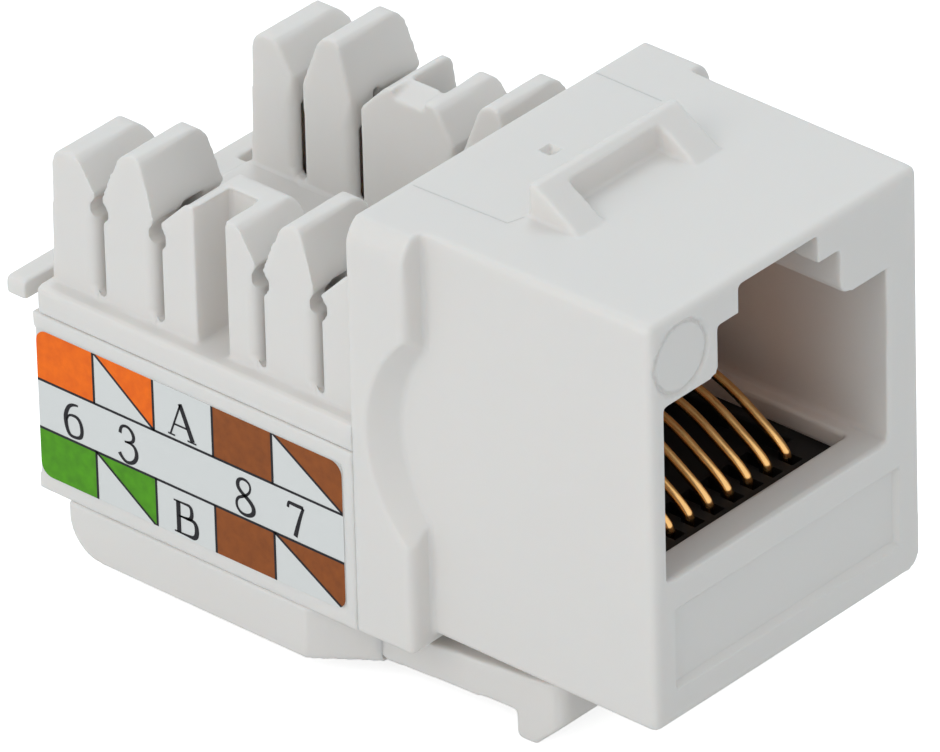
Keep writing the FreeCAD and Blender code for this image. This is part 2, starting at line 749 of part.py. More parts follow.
# ---------------------------------------------------------------- contact insert
# The black carrier: a floor with a comb for the eight spring contacts, and the port's rear wall.
insert = new_body("contact_insert")
carrier_low = board_top
insert_left = port_left + " + insert_play"
insert_right = port_right + " - insert_play"
carrier = rectangle(insert_left, insert_right, carrier_low, "insert_floor")
prism(insert, "Pad", "XZ", carrier, "sill_depth + insert_play", "flange_rear", "carrier_floor")
comb = rectangle(insert_left, insert_right, "insert_floor", "comb_height")
prism(insert, "Pad", "XZ", comb, "sill_depth + insert_play", "sill_depth + comb_depth", "front_comb")
back = rectangle(insert_left, insert_right, "insert_floor", "port_roof - insert_play")
prism(insert, "Pad", "XZ", back, "port_depth", "flange_rear", "rear_wall")
for number in CONTACTS:
    left = contact_x(number) + " - contact_slot / 2"
    right = contact_x(number) + " + contact_slot / 2"
    channel = [
        ("contact_front - contact_slot / 2", carrier_low),
        (pin_y(number) + " + contact_slot / 2", carrier_low),
        (pin_y(number) + " + contact_slot / 2", "contact_run + contact_slot / 2"),
        ("contact_front + contact_mouth", "contact_run + contact_slot / 2"),
        ("contact_front + contact_mouth", "comb_height + contact_slot"),
        ("contact_front - contact_slot / 2", "comb_height + contact_slot"),
    ]
    prism(insert, "Pocket", "YZ", channel, left, right, "channel_%d" % number)
    guide = rectangle("port_depth", "contact_back + contact_slot", "contact_lift - guide_height",
                      "contact_lift + contact_slot")
    prism(insert, "Pocket", "YZ", guide, left, right, "guide_%d" % number)


# ---------------------------------------------------------------- spring contacts
def bent_path(corners, radii):
    """A wire's middle line: straight runs joined by bends, each bend drawn as four short chords."""
    points = [corners[0]]
    for before, corner, after, radius in zip(corners, corners[1:], corners[2:], radii):
        inward = (before - corner).normalize()
        outward = (after - corner).normalize()
        half_angle = inward.getAngle(outward) / 2
        bisector = (inward + outward).normalize()
        middle = corner + bisector * (radius / math.sin(half_angle))
        first = corner + inward * (radius / math.tan(half_angle)) - middle
        last = corner + outward * (radius / math.tan(half_angle)) - middle
        sweep = math.pi - 2 * half_angle
        for step in range(5):
            share = step / 4
            points.append(middle + first * (math.sin((1 - share) * sweep) / math.sin(sweep))
                          + last * (math.sin(share * sweep) / math.sin(sweep)))
    points.append(corners[-1])
    return Part.makePolygon(points)


def contact_shape(number):
    """One eight-sided wire: solder pin, run under the floor, front bend and bowed spring."""
    x = value(contact_x(number))
    pin = value(pin_y(number))
    front = value("contact_front")
    run = value("contact_run")
    corners = [
        FreeCAD.Vector(x, pin, value("board_bottom - solder_length")),
        FreeCAD.Vector(x, pin, run),
        FreeCAD.Vector(x, front, run),
        FreeCAD.Vector(x, front, value("contact_crest")),
        FreeCAD.Vector(x, value("contact_bow_y"), value("contact_bow")),
        FreeCAD.Vector(x, value("contact_back"), value("contact_lift")),
    ]
    radii = [value("contact_bend"), value("contact_bend"), value("contact_crest_bend"),
             value("contact_bow_bend")]
    path = bent_path(corners, radii)
    radius = value("contact_radius")
    rim = []
    for turn in range(9):
        angle = (turn + 0.5) * math.pi / 4
        rim.append(corners[0] + FreeCAD.Vector(radius * math.cos(angle), radius * math.sin(angle), 0))
    wire = path.makePipeShell([Part.makePolygon(rim)], True, False, 1)
    expected = 2 * math.sqrt(2) * radius ** 2 * path.Length
    if abs(wire.Volume - expected) > 0.01 * expected:
        raise RuntimeError("contact %d has the wrong volume" % number)
    return wire


contacts = []
for number in CONTACTS:
    contact = doc.addObject("Part::Feature", "contact_%d" % number)
    contact.Label = "contact_%d" % number
    contact.Shape = contact_shape(number)
    contact.Placement = FreeCAD.Placement()
    contacts.append(contact)

# ---------------------------------------------------------------- labels
labels = []
for side, outer in (("left", "-(%s) + label_recess - label_thickness" % body_half),
                    ("right", "(%s) - label_recess" % body_half)):
    label = new_body(side + "_label")
    back_corner = "label_front + label_length - label_corner"
    front_corner = "label_front + label_corner"
    top_corner = "label_bottom + label_height - label_corner"
    low_corner = "label_bottom + label_corner"
    field = quarter(back_corner, top_corner, "label_corner") + \
        quarter(front_corner, top_corner, "label_corner", 1) + \
        quarter(front_corner, low_corner, "label_corner", 2) + \
        quarter(back_corner, low_corner, "label_corner", 3)
    prism(label, "Pad", "YZ", field, outer, "%s + label_thickness" % outer, side + "_sheet")
    labels.append(label)

# ---------------------------------------------------------------- checks and export
doc.recompute()
for item in doc.Objects:
    if "Invalid" in item.State or "Error" in item.State:
        raise RuntimeError("%s did not build: %s" % (item.Name, item.State))

os.makedirs("parts", exist_ok=True)
nodes = [item for item in doc.Objects if item.TypeId == "PartDesign::Body"] + contacts
for node in nodes:
    if node.Shape.isNull() or not node.Shape.isValid():
        raise RuntimeError("%s has no valid shape" % node.Label)
    print("%-18s solids %d  volume %8.2f" % (node.Label, len(node.Shape.Solids), node.Shape.Volume))
    node.Shape.exportStep("parts/%s.step" % node.Label)
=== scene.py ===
"""Keystone jack: a snap-in modular socket with a wire terminal block behind its flange.

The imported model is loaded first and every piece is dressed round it, in metres, in its frame:
x across, y back from the mating face, z up. The sections follow the jack as it is put together.
"""

import math

import bmesh
import bpy
from mathutils import Matrix, Quaternion, Vector


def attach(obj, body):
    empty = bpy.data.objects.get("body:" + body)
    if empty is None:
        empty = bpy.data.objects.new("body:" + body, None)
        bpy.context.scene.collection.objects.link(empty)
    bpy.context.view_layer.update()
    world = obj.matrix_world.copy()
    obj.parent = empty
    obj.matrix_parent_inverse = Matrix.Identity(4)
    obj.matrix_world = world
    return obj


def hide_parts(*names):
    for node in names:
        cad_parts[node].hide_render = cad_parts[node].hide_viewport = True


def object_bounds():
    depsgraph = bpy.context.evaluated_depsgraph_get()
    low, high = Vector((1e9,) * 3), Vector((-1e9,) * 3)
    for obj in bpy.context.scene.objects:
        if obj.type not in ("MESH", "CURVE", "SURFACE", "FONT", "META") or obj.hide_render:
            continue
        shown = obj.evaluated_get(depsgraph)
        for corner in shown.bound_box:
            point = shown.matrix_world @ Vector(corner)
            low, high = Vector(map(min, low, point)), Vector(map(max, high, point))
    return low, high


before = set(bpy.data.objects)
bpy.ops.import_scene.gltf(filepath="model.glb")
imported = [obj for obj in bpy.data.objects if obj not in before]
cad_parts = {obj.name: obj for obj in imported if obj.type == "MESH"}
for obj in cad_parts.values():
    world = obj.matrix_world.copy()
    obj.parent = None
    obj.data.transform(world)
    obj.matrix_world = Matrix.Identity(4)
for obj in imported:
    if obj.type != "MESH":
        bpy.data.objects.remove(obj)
cad_low, cad_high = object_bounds()

# ------------------------------------------------------------------ front housing
# One moulding in white ABS: the stepped port, the flange with its finger grips and the roof ridge.
# Every edge carries the mould's small radius, and the flange wings are rounded more than the rest.
MM = 0.001
WHITE_ABS = (0.79, 0.762, 0.735, 1.0)
SATIN_ROUGHNESS = 0.42
# The scale and detail of each noise.
FLOW_CLOUDS = (160.0, 2.0)
GLOSS_PATCHES = (1600.0, 3.0)
SPARK_GRIT = (7000.0, 2.0)
CLOUD_SHADES = (0.99, 1.008)
ROUGHNESS_SWING = 0.015
PLASTIC_GLOW = 0.35
PLASTIC_IOR = 1.46
GLOW_RADIUS = (1.0, 0.75, 0.6)
GLOW_DEPTH = 0.6
GRAIN_STRENGTH = 0.10
GRAIN_DEPTH = 0.02
# Painted shade for the port's inner walls: it darkens and warms the white, in place of shade and
# the gold contacts' reflected light.
PAINTED_PORT_SHADE = (1.0, 0.81, 0.72, 1.0)

# Sizes in millimetres. TOUCH is how near an edge has to lie to a named plane, and ALONG is how far
# its direction has to follow an axis. Edges that turn less than CORNER_TURN stay as they are.
TOUCH = 0.02
ALONG = 0.9
WELD_REACH = 0.002
FLAT_TURN = math.radians(0.6)
CORNER_TURN = math.radians(22)
SHORTEST_EDGE = 0.05
HOUSING_CELL = 0.09
HOUSING_KEEP = 0.2
HOUSING_HALF = 6.95
HOUSING_TOP = 15.9
FLANGE_FRONT = 10.0
FLANGE_HALF = 7.97
WING_DROP = 0.3
SHELL_ROUND = 0.30
WING_ROUND = 0.34
WING_CORNER_ROUND = 0.6
FOOT_ROUND = 0.85
PORT_MIDDLE = -0.33
PORT_ROOF = 12.6
PORT_CENTRE = 9.4
PORT_END = 10.1
LATCH_WAY_HALF = 3.175
LATCH_WAY_TOUCH = 0.04
LEFT_SHOULDER_ROUND = 0.28
RIGHT_SHOULDER_ROUND = 0.5

# The sunk panel and the ejector's disc on the front face, and the gate scar on the roof.
PANEL_HALF = 5.8
PANEL_LOW = 1.38
PANEL_HIGH = 4.4
PANEL_DEPTH = 0.22
PANEL_SLOPE = 0.09
PANEL_MARGIN = 0.25
PANEL_SKIN = 0.35
DISC_X = -5.35
DISC_Z = 14.15
DISC_RADIUS = 1.3
DISC_DEPTH = 0.05
GROOVE_HALF = 0.07
GROOVE_DEPTH = 0.12
DISC_SKIN = 0.3
GATE_X = -0.14
GATE_Y = 10.2
GATE_RADIUS = 0.24
GATE_DEPTH = 0.25
GATE_RIM = 0.02
GATE_RIM_REACH = 1.6
ROOF_SKIN = 0.1

# The port's right wall is thicker than the left one, and a low rail runs along each side and the
# front of its floor. The lower right edge of the shell is well rounded.
THICK_WALL = ((5.3, 0.02, 5.6), (5.9, 10.0, 12.7))
FLOOR_RAILS = (((4.7, 0.4, 4.95), (5.9, 10.0, 5.75)), ((-6.6, 0.4, 4.95), (-5.36, 10.0, 5.75)),
               ((-6.5, 0.4, 4.6), (5.9, 1.39, 5.75)))
FOOT_BLOCK = ((6.0, 0.0, 0.0), (6.95, 9.9, 1.3))
ROOF_LINES = (((-4.77, 12.3), (-4.65, 8.2), (-3.9, 8.0)), ((4.77, 12.4), (4.73, 9.45)))
ROOF_LINE_WIDTH = 0.12
ROOF_LINE_HEIGHT = 0.012
ROOF_LINE_ROOT = 0.02


def new_material(name):
    """An empty node material: its nodes, its links, its shader and its object coordinates."""
    material = bpy.data.materials.new(name)
    material.use_nodes = True
    nodes = material.node_tree.nodes
    shader = nodes["Principled BSDF"]
    coordinates = nodes.new("ShaderNodeTexCoord")
    return material, nodes, material.node_tree.links, shader, coordinates.outputs["Object"]


def noise(nodes, links, where, scale, detail):
    """A noise texture fed by the given coordinates."""
    texture = nodes.new("ShaderNodeTexNoise")
    texture.inputs["Scale"].default_value = scale
    texture.inputs["Detail"].default_value = detail
    links.new(where, texture.inputs["Vector"])
    return texture.outputs["Fac"]


def spread(nodes, links, factor, low, high):
    """Maps the middle of a noise to a narrow range."""
    mapped = nodes.new("ShaderNodeMapRange")
    mapped.inputs["From Min"].default_value = 0.3
    mapped.inputs["From Max"].default_value = 0.7
    mapped.inputs["To Min"].default_value = low
    mapped.inputs["To Max"].default_value = high
    links.new(factor, mapped.inputs["Value"])
    return mapped.outputs["Result"]


def two_tones(nodes, links, factor, first, second):
    """A colour between two tones."""
    mix = nodes.new("ShaderNodeMix")
    mix.data_type = "RGBA"
    mix.inputs["A"].default_value = first
    mix.inputs["B"].default_value = second
    links.new(factor, mix.inputs["Factor"])
    return mix.outputs["Result"]


def grain(nodes, links, shader, height, strength, depth):
    """Bump of a surface grain."""
    bump = nodes.new("ShaderNodeBump")
    bump.inputs["Strength"].default_value = strength
    bump.inputs["Distance"].default_value = depth
    links.new(height, bump.inputs["Height"])
    links.new(bump.outputs["Normal"], shader.inputs["Normal"])


def shade(color, factor):
    """A colour made lighter or darker."""
    return tuple(min(1.0, channel * factor) for channel in color[:3]) + (1.0,)


def moulded_plastic(name, color, roughness, softness):
    """Moulded plastic: faint flow clouds in the colour, uneven satin, spark-eroded grain."""
    material, nodes, links, shader, where = new_material(name)
    clouds = noise(nodes, links, where, *FLOW_CLOUDS)
    tones = [shade(color, factor) for factor in CLOUD_SHADES]
    links.new(two_tones(nodes, links, clouds, *tones), shader.inputs["Base Color"])
    patches = noise(nodes, links, where, *GLOSS_PATCHES)
    links.new(spread(nodes, links, patches, roughness - ROUGHNESS_SWING,
                     roughness + ROUGHNESS_SWING), shader.inputs["Roughness"])
    grit = noise(nodes, links, where, *SPARK_GRIT)
    grain(nodes, links, shader, grit, GRAIN_STRENGTH, GRAIN_DEPTH * MM)
    shader.inputs["IOR"].default_value = PLASTIC_IOR
    shader.inputs["Subsurface Weight"].default_value = softness
    shader.inputs["Subsurface Radius"].default_value = GLOW_RADIUS
    shader.inputs["Subsurface Scale"].default_value = GLOW_DEPTH * MM
    return material


def placed(name, data):
    """A new object in the scene."""
    made = bpy.data.objects.new(name, data)
    bpy.context.scene.collection.objects.link(made)
    return made


def baked(source, name):
    """The evaluated mesh of an object as a new plain object at the origin."""
    bpy.context.view_layer.update()
    graph = bpy.context.evaluated_depsgraph_get()
    mesh = bpy.data.meshes.new_from_object(source.evaluated_get(graph))
    mesh.name = name
    bpy.data.objects.remove(source)
    return placed(name, mesh)


def built(bm, name):
    """An object in metres from an edited mesh in millimetres."""
    mesh = bpy.data.meshes.new(name)
    bmesh.ops.scale(bm, vec=(MM, MM, MM), verts=bm.verts)
    bm.to_mesh(mesh)
    bm.free()
    return placed(name, mesh)


def painted(piece, material):
    """Gives a piece one material and no other."""
    piece.data.materials.clear()
    piece.data.materials.append(material)


def dress_piece(piece, material, body):
    """Material, and the body that carries the piece."""
    painted(piece, material)
    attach(piece, body)


def add_block(bm, low, high):
    """A plain block between two corners, added to a mesh."""
    middle = (Vector(low) + Vector(high)) / 2
    size = Vector(high) - Vector(low)
    place = Matrix.Translation(middle) @ Matrix.Diagonal((size.x, size.y, size.z, 1.0))
    bmesh.ops.create_cube(bm, size=1.0, matrix=place)


def chosen_edges(bm, test):
    """The edges of a mesh that turn a real corner and pass a test."""
    chosen = []
    for edge in bm.edges:
        middle = (edge.verts[0].co + edge.verts[1].co) / 2
        along = edge.verts[1].co - edge.verts[0].co
        if not edge.is_manifold or along.length <= SHORTEST_EDGE:
            continue
        if edge.calc_face_angle() > CORNER_TURN and test(middle, along.normalized()):
            chosen.append(edge)
    return chosen


def soft_moulding(node, name, cell, rounds, keep, carve=None, blocks=()):
    """A moulding with the mould's radii: chosen edges rounded, then the whole skin softened.

    rounds lists (test, radius, segments), where a test sees an edge's middle and direction in
    millimetres. The blocks are joined to the moulding. The skin is rebuilt in cells of the given
    size and thinned to the given share of its faces.
    """
    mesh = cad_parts[node].data.copy()
    mesh.transform(Matrix.Scale(1.0 / MM, 4))
    bm = bmesh.new()
    bm.from_mesh(mesh)
    bmesh.ops.remove_doubles(bm, verts=bm.verts, dist=WELD_REACH)
    bmesh.ops.dissolve_limit(bm, angle_limit=FLAT_TURN, verts=bm.verts, edges=bm.edges)
    for low, high in blocks:
        add_block(bm, low, high)
    for test, radius, segments in rounds:
        bmesh.ops.bevel(bm, geom=chosen_edges(bm, test), offset=radius, segments=segments,
                        profile=0.5, affect="EDGES", clamp_overlap=False)
    bm.to_mesh(mesh)
    bm.free()
    rough = placed(name + "_rough", mesh)
    skin = rough.modifiers.new("skin", "REMESH")
    skin.mode = "VOXEL"
    skin.voxel_size = cell
    skin.use_smooth_shade = True
    soften = rough.modifiers.new("soften", "SMOOTH")
    soften.factor = 0.5
    soften.iterations = 3
    dense = baked(rough, name + "_dense")
    if carve:
        carve(dense.data)
    thin = dense.modifiers.new("thin", "DECIMATE")
    thin.ratio = keep
    level = dense.modifiers.new("level", "WEIGHTED_NORMAL")
    level.weight = 80
    piece = baked(dense, name)
    piece.data.transform(Matrix.Scale(MM, 4))
    piece.data.shade_smooth()
    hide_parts(node)
    return piece


def touches(place, plane):
    """Whether a place lies on a plane, by one coordinate."""
    return abs(place - plane) < TOUCH


def foot_edge(middle, along):
    """The shell's lower right edge."""
    return touches(middle.x, HOUSING_HALF) and touches(middle.z, 0.0) and abs(along.y) > ALONG


def shell_edge(middle, along):
    """The housing's long outer edges and the outline of its front face."""
    side = touches(abs(middle.x), HOUSING_HALF)
    roof = touches(middle.z, HOUSING_TOP)
    sole = touches(middle.z, 0.0)
    lengthwise = abs(along.y) > ALONG and side and (roof or sole)
    return lengthwise or (touches(middle.y, 0.0) and (side or roof or sole))


def wing_corner(middle, along):
    """The top outer edge of each flange wing."""
    outer = touches(abs(middle.x), FLANGE_HALF) and touches(middle.z, HOUSING_TOP - WING_DROP)
    return outer and abs(along.y) > ALONG


def wing_edge(middle, along):
    """The straight upright outer edges of the flange wings, above and below the finger grips."""
    return touches(abs(middle.x), FLANGE_HALF) and abs(middle.y - FLANGE_FRONT) < 0.03


def latch_way_corner(side):
    """A test for the lower corner of the shoulder on one side of the latch way."""
    def test(middle, along):
        across = abs(middle.x - PORT_MIDDLE - side * LATCH_WAY_HALF) < LATCH_WAY_TOUCH
        return across and abs(middle.z - PORT_ROOF) < LATCH_WAY_TOUCH and abs(along.y) > ALONG
    return test


def stamp_marks(mesh):
    """The marks of the mould: the sunk panel and the disc in front, the gate scar on the roof."""
    facing = [vertex.normal.y for vertex in mesh.vertices]
    for vertex, toward in zip(mesh.vertices, facing):
        place = vertex.co
        beside = max(abs(place.x) - PANEL_HALF, PANEL_LOW - place.z, place.z - PANEL_HIGH)
        if place.y < PANEL_SKIN and toward < 0.3 and beside < PANEL_MARGIN:
            inward = (PANEL_SLOPE - beside) / (2 * PANEL_SLOPE)
            place.y = PANEL_DEPTH * min(1.0, max(0.0, inward))
        if place.y < DISC_SKIN and toward < -0.4:
            outside = math.hypot(place.x - DISC_X, place.z - DISC_Z) - DISC_RADIUS
            if outside < -GROOVE_HALF:
                place.y = DISC_DEPTH
            elif outside < GROOVE_HALF:
                place.y = GROOVE_DEPTH
        if place.z > HOUSING_TOP - ROOF_SKIN:
            share = max(abs(place.x - GATE_X), abs(place.y - GATE_Y)) / GATE_RADIUS
            if share < 1.0:
                place.z -= GATE_DEPTH * (1.0 - share ** 4)
            elif share < GATE_RIM_REACH:
                place.z += GATE_RIM


def faded(nodes, links, value, start, end):
    """One at a value of start, none at a value of end."""
    fade = nodes.new("ShaderNodeMapRange")
    fade.inputs["From Min"].default_value = start
    fade.inputs["From Max"].default_value = end
    fade.inputs["To Min"].default_value = 1.0
    fade.inputs["To Max"].default_value = 0.0
    links.new(value, fade.inputs["Value"])
    return fade.outputs["Result"]


def combined(nodes, links, operation, first, second):
    """Two values, or a value and a plain number, put through one sum."""
    result = nodes.new("ShaderNodeMath")
    result.operation = operation
    links.new(first, result.inputs[0])
    if isinstance(second, float):
        result.inputs[1].default_value = second
    else:
        links.new(second, result.inputs[1])
    return result.outputs["Value"]


def distance_from(nodes, links, value, middle):
    """How far a coordinate in metres lies from a middle in millimetres."""
    offset = combined(nodes, links, "ADD", value, -middle * MM)
    return combined(nodes, links, "ABSOLUTE", offset, 0.0)


def paint_port_shade(material, tint):
    """Paints shade into the port's inner walls: a warm darkening, stronger further in, that stands
    in for shade and for light reflected off the gold contacts.
    """
    nodes, links = material.node_tree.nodes, material.node_tree.links
    base = nodes["Principled BSDF"].inputs["Base Color"]
    source = base.links[0].from_socket
    where = nodes.new("ShaderNodeTexCoord")
    split = nodes.new("ShaderNodeSeparateXYZ")
    links.new(where.outputs["Object"], split.inputs["Vector"])
    across = distance_from(nodes, links, split.outputs["X"], PORT_MIDDLE)
    upward = distance_from(nodes, links, split.outputs["Z"], PORT_CENTRE)
    inside = faded(nodes, links, across, 6.1 * MM, 6.4 * MM)
    for value, start, end in ((upward, 5.2, 5.7), (split.outputs["Y"], 5.0, 0.4),
                              (split.outputs["Y"], PORT_END - 0.5, PORT_END)):
        limit = faded(nodes, links, value, start * MM, end * MM)
        inside = combined(nodes, links, "MULTIPLY", inside, limit)
    painted_shade_mix = nodes.new("ShaderNodeMix")
    painted_shade_mix.data_type = "RGBA"
    painted_shade_mix.blend_type = "MULTIPLY"
    painted_shade_mix.inputs["B"].default_value = tint
    links.new(inside, painted_shade_mix.inputs["Factor"])
    links.new(source, painted_shade_mix.inputs["A"])
    links.new(painted_shade_mix.outputs["Result"], base)


white_abs = moulded_plastic("white_moulded_abs", WHITE_ABS, SATIN_ROUGHNESS, PLASTIC_GLOW)
shell_abs = moulded_plastic("white_abs_painted_port_shade", WHITE_ABS, SATIN_ROUGHNESS, PLASTIC_GLOW)
# The port's inner walls carry painted shade and painted warm reflected light, stronger further in.
paint_port_shade(shell_abs, PAINTED_PORT_SHADE)
housing = soft_moulding("front_housing", "housing_moulding", HOUSING_CELL,
                        [(foot_edge, FOOT_ROUND, 5), (shell_edge, SHELL_ROUND, 3),
                         (wing_corner, WING_CORNER_ROUND, 4), (wing_edge, WING_ROUND, 3),
                         (latch_way_corner(-1.0), LEFT_SHOULDER_ROUND, 3),
                         (latch_way_corner(1.0), RIGHT_SHOULDER_ROUND, 4)],
                        HOUSING_KEEP, stamp_marks, (THICK_WALL, FOOT_BLOCK) + FLOOR_RAILS)
dress_piece(housing, shell_abs, "jack")


def raised_line(points, width, height):
    """A low ridge along a line on the roof, left by the joint between two parts of the mould."""
    bm = bmesh.new()
    rows = []
    for index, (x, y) in enumerate(points):
        before = Vector(points[max(index - 1, 0)])
        after = Vector(points[min(index + 1, len(points) - 1)])
        along = (after - before).normalized()
        side = Vector((-along.y, along.x)) * width / 2
        root = HOUSING_TOP - ROOF_LINE_ROOT
        rows.append([bm.verts.new((x + side.x, y + side.y, root)),
                     bm.verts.new((x, y, HOUSING_TOP + height)),
                     bm.verts.new((x - side.x, y - side.y, root))])
    for one, two in zip(rows, rows[1:]):
        for near, far in ((0, 1), (1, 2), (2, 0)):
            bm.faces.new((one[near], one[far], two[far], two[near]))
    bm.faces.new(rows[0][::-1])
    bm.faces.new(rows[-1])
    bmesh.ops.recalc_face_normals(bm, faces=bm.faces)
    return bm


for index, points in enumerate(ROOF_LINES):
    line = built(raised_line(points, ROOF_LINE_WIDTH, ROOF_LINE_HEIGHT),
                 "mould_joint_line_%d" % (index + 1))
    dress_piece(line, white_abs, "jack")

# ------------------------------------------------------------------ rear body, cover and latch arm
# The sleeve behind the flange, the tray that closes it below and the springy arm with its hook.
# They are moulded in the same white ABS as the housing.
SHELL_CELL = 0.10
SHELL_KEEP = 0.18
ARM_TIP = 5.07
ARM_SIDE = 5.5
HOOK_ROUND = 0.6


def hook_corner(middle, along):
    """The upright outer edges at the front of the arm and its hook."""
    return abs(middle.y - ARM_TIP) < 0.12 and abs(middle.x) > ARM_SIDE and abs(along.z) > 0.7


for node, name, body, rounds in (("rear_body", "rear_sleeve", "jack", []),
                                 ("bottom_cover", "bottom_tray", "jack", []),
                                 ("latch_arm", "sprung_latch_arm", "latch",
                                  [(hook_corner, HOOK_ROUND, 4)])):
    piece = soft_moulding(node, name, SHELL_CELL, rounds, SHELL_KEEP)
    dress_piece(piece, white_abs, body)

# ------------------------------------------------------------------ terminal block
# The ledge and its two rows of towers, in one white moulding pressed on over the wire terminals.
# Each tower's outer corner is well rounded below the lead-in, and its crest is rounded too.
BLOCK_CELL = 0.08
BLOCK_KEEP = 0.30
ROW_FACES = (-7.3, 2.88)
WIRE_SLOTS = (24.525, 21.83, 17.135, 14.495)
WIRE_SLOT_HALF = 0.22
TOWER_CORNER = 0.5
LEAD_IN_BOTTOM = 12.0
CREST_LOW = 13.0
CREST_ROUND = 0.28
LEDGE_TOP = 7.85
LEDGE_ROUND = 0.2
# The far row's slots are plain on the side that faces the near row: a block fills the hollow in
# each wall there, from FILL_INSET behind the row's face.
FILL_INSET = 0.002
FILL_REACH = 1.2
FILL_OFFSET = 0.33
FILL_HALF = 0.125
FILL_LOW = 10.85
FILL_HIGH = 11.95
INNER_FILLS = tuple(
    ((ROW_FACES[1] + FILL_INSET, slot + side * FILL_OFFSET - FILL_HALF, FILL_LOW),
     (ROW_FACES[1] + FILL_REACH, slot + side * FILL_OFFSET + FILL_HALF, FILL_HIGH))
    for slot in WIRE_SLOTS for side in (-1.0, 1.0))


def round_wire_corners(mesh):
    """Rounds the outer corner of the tower behind each wire slot, less over the slot's hollow."""
    for vertex in mesh.vertices:
        place = vertex.co
        if not LEDGE_TOP + 0.05 < place.z < LEAD_IN_BOTTOM:
            continue
        rise = min(1.0, (place.z - LEDGE_TOP) / 0.5, max(0.0, (12.3 - place.z) / 1.5))
        radius = TOWER_CORNER * rise
        for face in ROW_FACES:
            for slot in WIRE_SLOTS:
                inward = place.x - face
                behind = place.y - slot - WIRE_SLOT_HALF
                if -0.1 < inward < radius and -0.1 < behind < radius:
                    arm = Vector((inward - radius, behind - radius))
                    if arm.length > radius:
                        arm.length = radius
                        place.x = face + radius + arm.x
                        place.y = slot + WIRE_SLOT_HALF + radius + arm.y


def crest_edge(middle, along):
    """The edges across the top of each tower."""
    beside_face = any(abs(middle.x - face) < 0.8 for face in ROW_FACES)
    return middle.z > CREST_LOW and abs(along.x) > 0.99 and not beside_face


def ledge_edge(middle, along):
    """The ledge's long upper and lower edges."""
    return touches(abs(middle.x), FLANGE_HALF) and abs(along.y) > ALONG and middle.z > 6.5


block = soft_moulding("terminal_block", "terminal_towers", BLOCK_CELL,
                      [(crest_edge, CREST_ROUND, 3), (ledge_edge, LEDGE_ROUND, 2)], BLOCK_KEEP,
                      round_wire_corners, INNER_FILLS)
dress_piece(block, white_abs, "jack")

# ------------------------------------------------------------------ contact insert
# The black carrier in the port's floor, moulded in glass-filled resin with a slot for each contact.
RESIN_BLACK = (0.004, 0.004, 0.004, 1.0)
RESIN_ROUGHNESS = 0.6
SEAT_ROUND = 0.12
SEAT_TOP = 5.0
SIDE_SEATS = (((-6.2, 1.1, 4.2), (-4.9, 10.1, SEAT_TOP)),
              ((4.24, 1.1, 4.2), (5.54, 10.1, SEAT_TOP)))
black_resin = moulded_plastic("black_filled_resin", RESIN_BLACK, RESIN_ROUGHNESS, 0.0)
painted(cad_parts["contact_insert"], black_resin)
bm = bmesh.new()
for low, high in SIDE_SEATS:
    add_block(bm, low, high)
upper = [edge for edge in bm.edges
         if touches(edge.verts[0].co.z, SEAT_TOP) and touches(edge.verts[1].co.z, SEAT_TOP)]
bmesh.ops.bevel(bm, geom=upper, offset=SEAT_ROUND, segments=3, profile=0.5, affect="EDGES")
dress_piece(built(bm, "insert_side_seats"), black_resin, "jack")

# ------------------------------------------------------------------ spring contacts
# Eight round phosphor-bronze wires, plated with gold. Each has a solder pin, a run under the floor,
# a bend at the front of the comb and a bowed spring that meets the plug.
CONTACT_PITCH = 1.02
CONTACT_RADIUS = 0.18
PIN_ROWS = (9.6, 11.2)
GOLD_TONES = ((0.86, 0.48, 0.17, 1.0), (0.98, 0.62, 0.26, 1.0))
MASK_TONES = ((0.02, 0.11, 0.05, 1.0), (0.03, 0.15, 0.07, 1.0))
TIN_TONES = ((0.60, 0.60, 0.59, 1.0), (0.76, 0.76, 0.75, 1.0))


def two_toned(name, texture, tones, roughness, metallic, stretch=(1.0, 1.0, 1.0)):
    """A surface whose one noise moves its colour between two tones and its roughness too."""
    material, nodes, links, shader, where = new_material(name)
    mapping = nodes.new("ShaderNodeMapping")
    mapping.inputs["Scale"].default_value = stretch
    links.new(where, mapping.inputs["Vector"])
    pattern = noise(nodes, links, mapping.outputs["Vector"], *texture)
    links.new(two_tones(nodes, links, pattern, *tones), shader.inputs["Base Color"])
    links.new(spread(nodes, links, pattern, *roughness), shader.inputs["Roughness"])
    shader.inputs["Metallic"].default_value = metallic
    return material


gold = two_toned("gold_plated_bronze", (1500.0, 3.0), GOLD_TONES, (0.16, 0.26), 1.0)


def wire_line(pin_y):
    """The middle line of one contact as a curve, in millimetres, in the plane x = 0."""
    curve = bpy.data.curves.new("contact_line", "CURVE")
    curve.dimensions = "3D"
    curve.resolution_u = 8
    spline = curve.splines.new("NURBS")
    pin = [(pin_y, 0.7), (pin_y, 2.4), (pin_y, 3.3)]
    run = [(pin_y - 0.9, 3.3), (4.7, 3.3), (3.7, 3.35)]
    bend = [(3.2, 4.1), (2.66, 4.95), (3.1, 5.48)]
    spring = [(4.2, 6.2), (5.0, 6.7), (5.8, 7.05), (7.8, 7.7), (10.3, 8.2)]
    route = pin + run + bend + spring
    spline.points.add(len(route) - 1)
    for point, (y, z) in zip(spline.points, route):
        point.co = (0.0, y, z, 1.0)
    spline.order_u = 3
    spline.use_endpoint_u = True
    return curve


